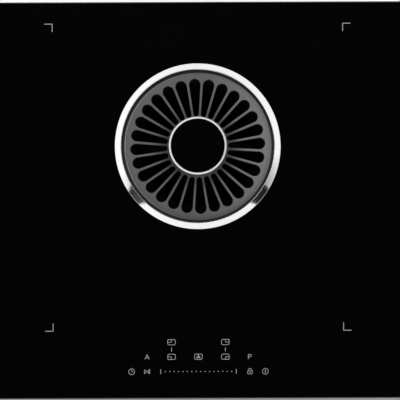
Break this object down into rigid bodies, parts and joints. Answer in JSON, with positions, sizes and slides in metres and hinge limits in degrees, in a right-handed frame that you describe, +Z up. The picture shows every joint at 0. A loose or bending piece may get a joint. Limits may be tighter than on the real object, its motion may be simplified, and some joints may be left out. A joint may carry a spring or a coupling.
{
  "type": "downdraft induction cooktop",
  "caption": "Built-in induction cooktop, black glass with a round chrome-ringed downdraft grille in the middle and an air housing with filter, blower and rear duct outlet below.",
  "frame": {"origin": "on the flat base of the air housing, below the middle of the glass", "axes": "+X to the user's right along the glass, +Y to the rear, +Z up out of the glass"},
  "size_m": [0.83, 0.52, 0.2208],
  "materials": {
    "black_glass": "polished black glass-ceramic",
    "seal_foam": "closed-cell foam tape",
    "chrome": "polished chrome",
    "dark_plastic": "black moulded plastic",
    "silicone": "moulded silicone",
    "grille_grey": "grey fine-textured powder coat on die-cast metal",
    "filter_plastic": "black heat-proof plastic",
    "coated_mesh": "black-coated pressed steel mesh",
    "galvanised": "galvanised sheet steel with spangle",
    "mica": "pressed mica sheet",
    "white_ceramic": "sensor carrier",
    "brass_post": "hexagonal standoff",
    "circuit_board": "green solder mask",
    "copper": "enamelled copper wire",
    "grey_plastic": "grey moulded plastic",
    "conductive_foam": "conductive foam pads",
    "housing_plastic": "black glass-filled plastic",
    "zinc_screw": "zinc plated steel",
    "tray_plastic": "grey plastic",
    "aluminium": "plain aluminium",
    "ferrite": "sintered ferrite",
    "impeller_plastic": "light grey glass-filled plastic",
    "flap_plastic": "grey plastic",
    "gland_plastic": "black nylon"
  },
  "bodies": {
    "cooktop": {"glass_top": "black_glass", "worktop_seal": "seal_foam", "vent_trim_ring": "chrome", "inlet_collar": "dark_plastic", "collar_seals": "silicone", "induction_tray": "galvanised", "mica_sheets": "mica", "glass_sensors": "white_ceramic", "coil_supports": "brass_post", "mains_filter_board": "circuit_board", "control_holder": "grey_plastic", "control_board": "circuit_board", "touch_pads": "conductive_foam", "plenum_lower": "housing_plastic", "plenum_upper": "housing_plastic", "casing_screws": "zinc_screw", "blower_scroll": "grey_plastic", "blower_cover": "grey_plastic", "isolators": "silicone", "motor_housing": "aluminium", "outlet_spigot": "dark_plastic", "flap_pins": "zinc_screw", "fan_control_box": "housing_plastic", "terminal_box": "housing_plastic", "terminal_cover": "dark_plastic", "cable_gland": "gland_plastic", "clamp_brackets": "galvanised", "clamp_screws": "zinc_screw", "coil_carrier_rear_left": "aluminium", "coil_ferrites_rear_left": "ferrite", "coil_winding_rear_left": "copper", "coil_carrier_rear_right": "aluminium", "coil_ferrites_rear_right": "ferrite", "coil_winding_rear_right": "copper", "coil_carrier_front_left": "aluminium", "coil_ferrites_front_left": "ferrite", "coil_winding_front_left": "copper", "coil_carrier_front_right": "aluminium", "coil_ferrites_front_right": "ferrite", "coil_winding_front_right": "copper", "power_board_left": "circuit_board", "heat_sink_left": "aluminium", "cooling_fan_frame_left": "dark_plastic", "power_board_right": "circuit_board", "heat_sink_right": "aluminium", "cooling_fan_frame_right": "dark_plastic"},
    "filter_unit": {"filter_frame": "filter_plastic", "filter_cup": "filter_plastic", "filter_mesh": "coated_mesh", "filter_handle": "filter_plastic"},
    "grille_unit": {"grille": "grille_grey", "cap_ring": "chrome", "cap_disc": "black_glass"},
    "liquid_drawer": {"liquid_tray": "tray_plastic"},
    "blower_wheel": {"impeller": "impeller_plastic", "motor_shaft": "zinc_screw"},
    "left_fan_wheel": {"cooling_fan_rotor_left": "dark_plastic"},
    "right_fan_wheel": {"cooling_fan_rotor_right": "dark_plastic"},
    "upper_flap": {"flap_upper": "flap_plastic"},
    "lower_flap": {"flap_lower": "flap_plastic"}
  },
  "joints": [
    {"name": "filter_lift", "type": "slide", "parent": "cooktop", "child": "filter_unit", "axis": [0, 0, 1], "range_m": [0, 0.19]},
    {"name": "grille_lift", "type": "slide", "parent": "filter_unit", "child": "grille_unit", "axis": [0, 0, 1], "range_m": [0, 0.08]},
    {"name": "liquid_drawer_pull", "type": "slide", "parent": "cooktop", "child": "liquid_drawer", "axis": [0, -1, 0], "range_m": [0, 0.24]},
    {"name": "blower_spin", "type": "hinge", "parent": "cooktop", "child": "blower_wheel", "pos_m": [0.205, 0.015, 0.05], "axis": [0, 0, 1], "continuous": true},
    {"name": "left_fan_spin", "type": "hinge", "parent": "cooktop", "child": "left_fan_wheel", "pos_m": [-0.15, -0.186, 0.165], "axis": [0, 0, 1], "continuous": true},
    {"name": "right_fan_spin", "type": "hinge", "parent": "cooktop", "child": "right_fan_wheel", "pos_m": [0.15, -0.186, 0.165], "axis": [0, 0, 1], "continuous": true},
    {"name": "upper_flap_swing", "type": "hinge", "parent": "cooktop", "child": "upper_flap", "pos_m": [0.265, 0.216, 0.09355], "axis": [1, 0, 0], "range_deg": [0, 75]},
    {"name": "lower_flap_swing", "type": "hinge", "parent": "cooktop", "child": "lower_flap", "pos_m": [0.265, 0.216, 0.05125], "axis": [1, 0, 0], "range_deg": [0, 75]}
  ]
}
